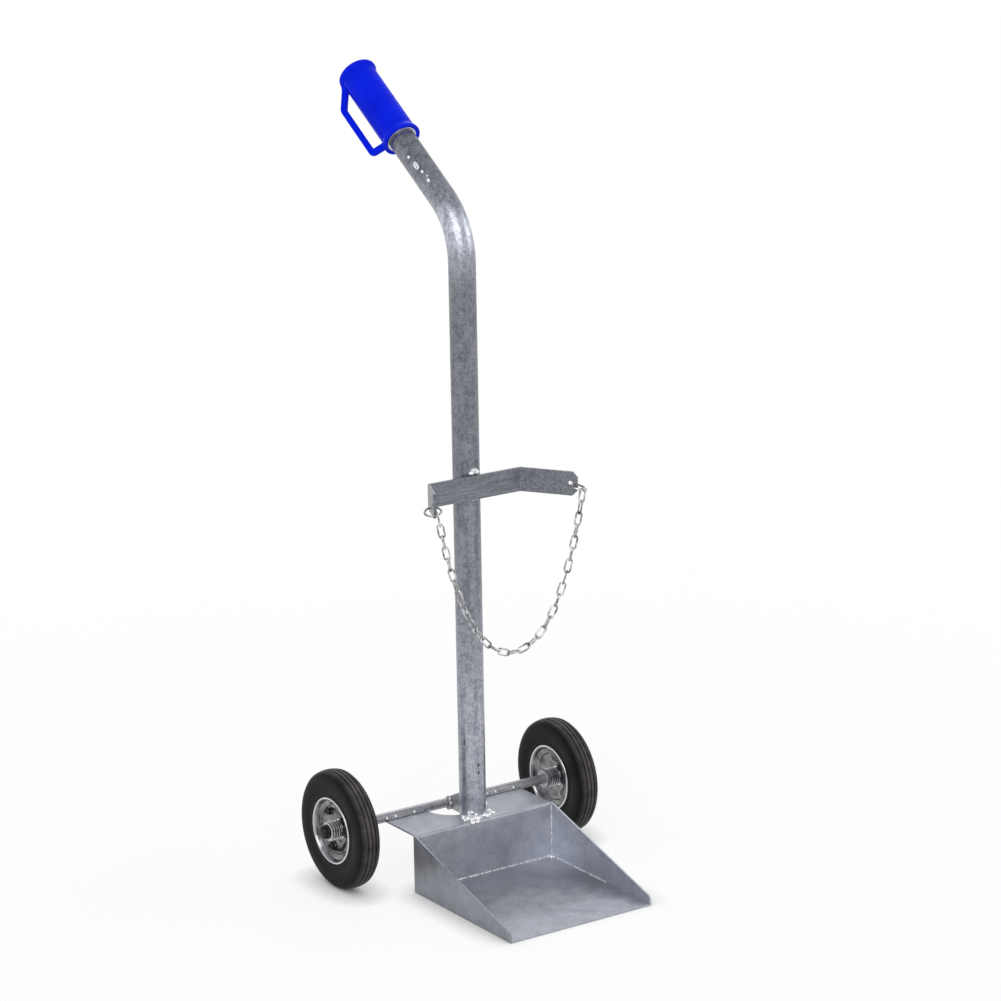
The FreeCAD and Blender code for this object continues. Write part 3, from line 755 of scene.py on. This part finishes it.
def make_chain_rings():
    for side in WINGS:
        centre, hang, across = ring_frame(side)
        count = 48
        path = []
        for k in range(count):
            angle = 2 * math.pi * k / count
            path.append(centre + (hang * math.cos(angle) + across * math.sin(angle)) * RING_R)
        # a slightly thicker place where the ring is butt-welded
        radii = [RING_WIRE / 2 + 0.22 * math.exp(-((k - 6) / 1.4) ** 2) for k in range(count)]
        piece(
            side + "_round_ring",
            [swept(path, radii, hang.cross(across), 14, True)],
            CHAIN, "frame", (side + "_chain_ring",),
        )


def link_slopes(span, hook):
    """Slopes of links that hang at rest: their tangents rise by equal steps, found by halving."""
    step_length = LINK_PITCH - LINK_SLACK
    low, high = 0.0, 10.0
    for _ in range(80):
        step = (low + high) / 2
        slopes = [math.atan(step * (i - (LINK_COUNT - 1) / 2)) for i in range(LINK_COUNT)]
        reach = sum(step_length * math.cos(s) for s in slopes) - 2 * hook * math.cos(slopes[0])
        if reach > span:
            low = step
        else:
            high = step
    return slopes


def make_chain():
    width = LINK_WIDTH - LINK_WIRE
    straight = LINK_PITCH + LINK_WIRE - width
    points, faces = wire_loop(straight, width / 2, LINK_WIRE, 9)
    step_length = LINK_PITCH - LINK_SLACK
    hook = RING_WIRE / 2 + LINK_SLACK / 2
    start = chain_seat("left")
    span = chain_seat("right") - start
    slopes = link_slopes(span.length, hook)
    run = span.normalized()
    level = Z_AXIS.cross(run).normalized()
    up = run.cross(level)
    joint = start - (run * math.cos(slopes[0]) + up * math.sin(slopes[0])) * hook
    links = []
    for i, slope in enumerate(slopes):
        along = run * math.cos(slope) + up * math.sin(slope)
        beside = along.cross(level)
        # the middle link lies flat, and the links turn about the chain towards both ends
        from_middle = abs(1 - 2 * i / (LINK_COUNT - 1))
        turn = math.radians(180 - LINK_TWIST * from_middle + 90 * (i % 2))
        facing = level * math.cos(turn) + beside * math.sin(turn)
        axes = Matrix((along, facing.cross(along), facing)).transposed()
        middle = joint + along * (step_length / 2)
        links.append(([middle + axes @ p for p in points], faces))
        joint = joint + along * step_length
    piece("round_wire_links", links, CHAIN, "chain", ("chain_links",))


def bead(path, radius, up, pitch=None, swell=None):
    """A weld bead along a path: overlapping ripples of uneven size, with rounded ends."""
    pitch = pitch or radius * 1.5
    spaced, lengths = [path[0]], [0.0]
    for first, second in zip(path, path[1:]):
        run = (second - first).length
        parts = max(1, int(run / (radius * 0.3)))
        for k in range(1, parts + 1):
            spaced.append(first.lerp(second, k / parts))
            lengths.append(lengths[-1] + run / parts)
    total = lengths[-1]
    sizes = [chance.uniform(0.82, 1.14) for _ in range(int(total / pitch) + 2)]
    radii = []
    for length in lengths:
        ripple = length / pitch
        crest = 0.72 + 0.28 * math.sqrt(abs(math.sin(math.pi * ripple)))
        near = min(length, total - length)
        end = math.sqrt(min(1.0, max(0.02, near / radius)))
        size = radius * crest * sizes[int(ripple)] * end
        radii.append(size * (swell(length / total) if swell else 1.0))
    return swept(spaced, radii, up, 10)


def blob(origin, normal, radius, height, stretch=1.0, along=None):
    """A low drop of metal on a surface, its foot sunk in a little."""
    outline = [(-0.3 * height, 0), (-0.3 * height, radius)]
    for k in range(1, 7):
        angle = math.pi / 2 * k / 6
        outline.append((height * math.sin(angle), radius * math.cos(angle)))
    points, faces = turned(outline, origin, normal, 20)
    if along is not None:
        origin = Vector(origin)
        points = [p + along * ((p - origin).dot(along) * (stretch - 1)) for p in points]
    return points, faces


def ball(centre, radius, flat=0.85):
    """A round lump of metal, a little flattened."""
    outline = []
    for k in range(13):
        angle = math.pi * (k / 12 - 0.5)
        outline.append((flat * radius * math.sin(angle), radius * math.cos(angle)))
    outline[0] = (-flat * radius, 0.0)
    outline[-1] = (flat * radius, 0.0)
    return turned(outline, centre, Z_AXIS, 24)


def arc(centre, radius, first, last, height=0.0, count=40):
    """Points of a level arc about an upright axis, between two angles in degrees."""
    points = []
    for k in range(count + 1):
        angle = math.radians(first + (last - first) * k / count)
        points.append(
            Vector(centre) + Vector((math.cos(angle) * radius, math.sin(angle) * radius, height))
        )
    return points


def make_post_welds():
    parts = []
    foot = Vector((0, POST_Y, SHELF_Z))

    def lumps(share):
        left = math.exp(-(((share - 0.36) / 0.1) ** 2))
        right = math.exp(-(((share - 0.72) / 0.09) ** 2))
        return 0.8 + 0.55 * left + 0.4 * right

    parts.append(bead(arc(foot, POST_R + 1.3, 178, 362, 1.5), 3.2, Z_AXIS, 4.6, lumps))
    # drops that ran onto the shelf on both sides of the post's front: place and size
    left_drops = ((-25.5, 163, 5.2), (-23, 153.5, 6.6), (-14.5, 148, 7.2), (-29, 152, 4.2))
    left_drops += ((-20, 145.5, 5.6), (-8, 146, 5.6), (-2, 146.5, 3.6))
    right_drops = ((12.5, 148, 4.6), (18, 152, 5.4), (24, 157.5, 5.8), (27, 164.5, 4.0), (28, 152, 3.4))
    for x, y, size in left_drops + right_drops:
        parts.append(blob((x, y, SHELF_Z), Z_AXIS, size, size * 1.05))
    for x, size in ((-22, 4.6), (-13.5, 4.2)):
        parts.append(blob((x, TRAY_HALF + 1.4, SHELF_Z - 1.4), (0, -1, 1), size, 2.6))
    # lumps that climb the post's foot on its left, the first one drawn out sideways
    parts.append(bead(arc(foot, POST_R + 0.6, -150, -120, 9.8, 16), 3.6, Z_AXIS, 6.0))
    for degrees, height, size in ((-112, 6.0, 3.8), (-138, 3.4, 4.6), (-68, 3.2, 3.4)):
        angle = math.radians(degrees)
        out = Vector((math.cos(angle), math.sin(angle), 0))
        parts.append(ball(foot + out * (POST_R + 0.6) + Z_AXIS * height, size))
    # a drop higher up on the post's right
    parts.append(blob((18.4, 159.4, 114), (0.83, -0.56, 0), 3.6, 2.6, 1.9, Z_AXIS))
    seat_y = POST_Y - POST_R
    low, high = BRACKET_Z - BAR_WIDTH / 2, BRACKET_Z + BAR_WIDTH / 2
    for sign in (1, -1):
        path = [Vector((sign * 12.3, seat_y + 1.9, low + 2)), Vector((sign * 12.3, seat_y + 1.9, high - 2))]
        parts.append(bead(path, 2.3, Y_AXIS, 4.0))
    under = [Vector((x, seat_y - 0.8 + 0.012 * x * x, low - 0.4)) for x in range(-9, 10, 2)]
    parts.append(bead(under, 1.5, Z_AXIS, 3.4))
    piece("post_weld_beads", parts, WELD, "frame", ("post_welds",))
    # the lump on the bar's top edge against the post: place across, height and size of its rounds
    drops = []
    for x, height, size in ((-5.0, 4.0, 4.6), (0.2, 7.2, 6.6), (5.0, 4.6, 4.8)):
        drops.append(ball(Vector((x, seat_y + 0.6, high + height)), size))
    piece("bracket_weld_blob", drops, WELD, "frame")


def make_axle_welds():
    parts = []
    front = AXLE_Y - AXLE_R
    for sign in (1, -1):
        path = [Vector((sign * x, front - 1.4, SHELF_Z + 1.2)) for x in (NOTCH_R + 4, FLOOR_HALF - 3)]
        parts.append(bead(path, 2.2, Z_AXIS, 4.2))
    piece("axle_weld_beads", parts, AXLE_ZINC, "frame", ("axle_welds",))
    tacks = []
    for x in (-133, -116, -79, 67, 84, 121):
        tacks.append(blob((x, front - 1.2, AXLE_Z + 1.5), (0, -0.8, 0.6), 2.6, 1.9))
    # beads round the axle on both sides of the gusset, with tacks on them
    rings = []
    collar_r = 8.8
    for x in (-6.6, 6.6):
        path = []
        for k in range(31):
            angle = math.radians(70 + 220 * k / 30)
            out = Vector((0, math.cos(angle), math.sin(angle)))
            path.append(Vector((x, AXLE_Y, AXLE_Z)) + out * collar_r)
        rings.append(bead(path, 4.0, X_AXIS, 6.0))
        for degrees in (135, 172):
            angle = math.radians(degrees)
            out = Vector((0, math.cos(angle), math.sin(angle)))
            centre = Vector((x, AXLE_Y, AXLE_Z)) + out * 12.0
            tacks.append(blob(centre, out, 2.4, 1.8))
    for sign in (1, -1):
        rear = POST_Y + POST_R
        path = [Vector((sign * 5.6, rear - 0.2, z)) for z in (93, 129)]
        rings.append(bead(path, 1.8, Y_AXIS, 3.6))
    piece("axle_tacks", tacks, WELD, "frame")
    piece("gusset_weld_rings", rings, AXLE_ZINC, "frame")


def make_tray_welds():
    """Thin seams in the shovel's corners, broken where the torch moved on."""
    parts = []
    floor_z = SHEET + 0.3
    back_y = TRAY_HALF - 1.0
    x = -FLOOR_HALF + 3
    while x < FLOOR_HALF - 4:
        run = chance.uniform(12, 30)
        last = min(x + run, FLOOR_HALF - 3)
        path = [Vector((x, back_y, floor_z + 0.5)), Vector((last, back_y, floor_z + 0.5))]
        parts.append(bead(path, 1.25, Z_AXIS, 2.6))
        x = last + chance.uniform(1.5, 7)
    for sign in (1, -1):
        wall = sign * (FLOOR_HALF - 0.5)
        path = [Vector((wall, TRAY_HALF - 3, floor_z)), Vector((wall, -18, floor_z))]
        parts.append(bead(path, 1.2, Z_AXIS, 2.8))
        corner = [Vector((wall, TRAY_HALF - 0.4, 6)), Vector((wall, TRAY_HALF - 0.4, 93))]
        parts.append(bead(corner, 1.3, Y_AXIS, 3.4))
        parts.append(blob((wall - sign * 2.5, TRAY_HALF - 3, SHEET), Z_AXIS, 5.2, 3.0))
    piece("tray_seam_welds", parts, WELD, "frame")


def make_zinc_runs():
    """Drops left on the handle and the post where the zinc ran off."""
    drops = []
    # place, size and stretch of each drop on the handle
    places = ((-19.47, 292.2, 1185.44, 2.7, 1.2), (-18.28, 272.36, 1174.17, 4.2, 2.0))
    places += ((-19.2, 268.2, 1171.0, 2.6, 1.2), (-16.75, 257.4, 1166.29, 2.4, 1.3))
    places += ((-16.65, 240.46, 1154.84, 2.9, 1.5), (-14.2, 246.0, 1159.9, 1.6, 1.0))
    for x, y, z, size, stretch in places:
        here = Vector((x, y, z))
        centre = BEND_APEX + HANDLE_LINE * (here - BEND_APEX).dot(HANDLE_LINE)
        out = (here - centre).normalized()
        drops.append(blob(centre + out * POST_R, out, size, 1.9, stretch, HANDLE_LINE))
    piece("zinc_runs", drops, WELD, "frame")
    # two dark flaws low on the post, each with a bright lip under it, and a longer one on its left
    flaws, lips = [], []
    marks = ((-94, 189.4, 1.7, 1.9), (-94, 175.5, 1.7, 1.9), (-157, 229, 1.5, 4.6))
    for angle, z, size, stretch in marks:
        out = Vector((math.cos(math.radians(angle)), math.sin(math.radians(angle)), 0))
        here = Vector((0, POST_Y, z)) + out * (POST_R + 0.02)
        flaws.append(blob(here, out, size, 0.35, stretch, Z_AXIS))
        lips.append(blob(here - Z_AXIS * size * (stretch + 0.3), out, 1.3, 0.8))
    piece("post_flaws", flaws, BOLT, "frame")
    piece("post_flaw_lips", lips, WELD, "frame")


dress("toe_plate", TOE_ZINC, 0.45)
dress("left_side_plate", LEFT_ZINC, 0.45)
dress("right_side_plate", RIGHT_ZINC, 0.45)
dress("post_tube", GALVANISED_TUBE, 0.4)
dress("axle", AXLE_ZINC, 0.6)
dress("axle_gusset", AXLE_ZINC, 0.8)
dress("cradle_bracket", GALVANISED_BAR, 0.7)
make_wheel("left", -1)
make_wheel("right", 1)
make_axle_fittings()
make_grip()
make_chain_rings()
make_chain()
make_post_welds()
make_axle_welds()
make_tray_welds()
make_zinc_runs()


def make_floor():
    """A large pale floor that keeps the shadow and shows white round the object."""
    mesh = bpy.data.meshes.new("studio_floor")
    reach = 40.0
    corners = [(-reach, -reach, 0), (reach, -reach, 0), (reach, reach, 0), (-reach, reach, 0)]
    mesh.from_pydata(corners, [], [(0, 1, 2, 3)])
    floor = bpy.data.objects.new("studio_floor", mesh)
    bpy.context.scene.collection.objects.link(floor)
    material = bpy.data.materials.new("pale_floor")
    material.use_nodes = True
    nodes, links = material.node_tree.nodes, material.node_tree.links
    nodes.clear()
    matt = nodes.new("ShaderNodeBsdfDiffuse")
    matt.inputs["Color"].default_value = (0.9, 0.9, 0.9, 1)
    # a painted contact shadow: the white that is seen gets darker where the object nearly touches the floor
    contact = nodes.new("ShaderNodeAmbientOcclusion")
    contact.inputs["Color"].default_value = (1, 1, 1, 1)
    contact.inputs["Distance"].default_value = 0.05
    glow = nodes.new("ShaderNodeEmission")
    links.new(contact.outputs["Color"], glow.inputs["Color"])
    light_path = nodes.new("ShaderNodeLightPath")
    seen = light_path.outputs["Is Camera Ray"]
    for ray in ("Is Glossy Ray", "Is Transmission Ray"):
        either = nodes.new("ShaderNodeMath")
        either.operation = "MAXIMUM"
        links.new(seen, either.inputs[0])
        links.new(light_path.outputs[ray], either.inputs[1])
        seen = either.outputs[0]
    # beside the object the lit floor keeps the shadow, and further off it is plain white
    place = nodes.new("ShaderNodeTexCoord")
    distance = nodes.new("ShaderNodeVectorMath")
    distance.operation = "LENGTH"
    links.new(place.outputs["Object"], distance.inputs[0])
    fade = nodes.new("ShaderNodeMapRange")
    for socket, value in (("From Min", 0.7), ("From Max", 2.2), ("To Min", 0.82), ("To Max", 1.0)):
        fade.inputs[socket].default_value = value
    links.new(distance.outputs["Value"], fade.inputs["Value"])
    share = nodes.new("ShaderNodeMath")
    share.operation = "MULTIPLY"
    links.new(seen, share.inputs[0])
    links.new(fade.outputs["Result"], share.inputs[1])
    blend = nodes.new("ShaderNodeMixShader")
    links.new(share.outputs[0], blend.inputs[0])
    links.new(matt.outputs[0], blend.inputs[1])
    links.new(glow.outputs[0], blend.inputs[2])
    output = nodes.new("ShaderNodeOutputMaterial")
    links.new(blend.outputs[0], output.inputs["Surface"])
    mesh.materials.append(material)


def make_world():
    """White near the horizon and softly darker overhead, as in a white studio cove."""
    world = bpy.data.worlds.new("studio")
    bpy.context.scene.world = world
    world.use_nodes = True
    nodes, links = world.node_tree.nodes, world.node_tree.links
    background = nodes["Background"]
    place = nodes.new("ShaderNodeTexCoord")
    parts = nodes.new("ShaderNodeSeparateXYZ")
    links.new(place.outputs["Generated"], parts.inputs[0])
    ramp = nodes.new("ShaderNodeValToRGB")
    points = ramp.color_ramp.elements
    points[0].position = 0.1
    points[0].color = (1.0, 1.0, 1.0, 1.0)
    points[1].position = 1.0
    points[1].color = (0.62, 0.63, 0.65, 1.0)
    points.new(0.28).color = (0.9, 0.9, 0.91, 1.0)
    points.new(0.5).color = (0.5, 0.5, 0.52, 1.0)
    links.new(parts.outputs["Z"], ramp.inputs["Fac"])
    links.new(ramp.outputs["Color"], background.inputs["Color"])
    background.inputs["Strength"].default_value = 1.0


def make_lamp(name, place, aim, size, power):
    data = bpy.data.lights.new(name, "AREA")
    data.shape = "SQUARE"
    data.size = size
    data.energy = power
    lamp = bpy.data.objects.new(name, data)
    lamp.location = place
    lamp.rotation_euler = (Vector(aim) - Vector(place)).to_track_quat("-Z", "Y").to_euler()
    bpy.context.scene.collection.objects.link(lamp)


def make_camera():
    azimuth, elevation, roll = (math.radians(v) for v in (-34.21, 15.10, -0.94))
    target = Vector((0.0078, 0.0464, 0.6611))
    distance = 5.796
    back = Vector(
        (
            math.sin(azimuth) * math.cos(elevation),
            -math.cos(azimuth) * math.cos(elevation),
            math.sin(elevation),
        )
    )
    right = Vector((math.cos(azimuth), math.sin(azimuth), 0))
    up = back.cross(right)
    turned_right = right * math.cos(roll) + up * math.sin(roll)
    turned_up = up * math.cos(roll) - right * math.sin(roll)
    data = bpy.data.cameras.new("camera")
    data.lens = 130.75
    data.sensor_width = 36
    data.shift_x = -0.0137
    data.shift_y = 0.0004
    data.clip_end = 200
    camera = bpy.data.objects.new("camera", data)
    place = target + back * distance
    axes = Matrix((turned_right, turned_up, back)).transposed().to_4x4()
    camera.matrix_world = Matrix.Translation(place) @ axes
    bpy.context.scene.collection.objects.link(camera)
    bpy.context.scene.camera = camera


make_floor()
make_world()
make_lamp("key", (-2.4, -2.6, 3.4), (0, 0.1, 0.6), 3.2, 80)
make_lamp("fill", (3.0, -1.6, 2.2), (0, 0.1, 0.6), 2.0, 25)
make_lamp("rear", (1.5, 2.6, 3.0), (0, 0.1, 0.4), 2.2, 32)
make_camera()
bpy.context.scene.view_settings.view_transform = "Standard"
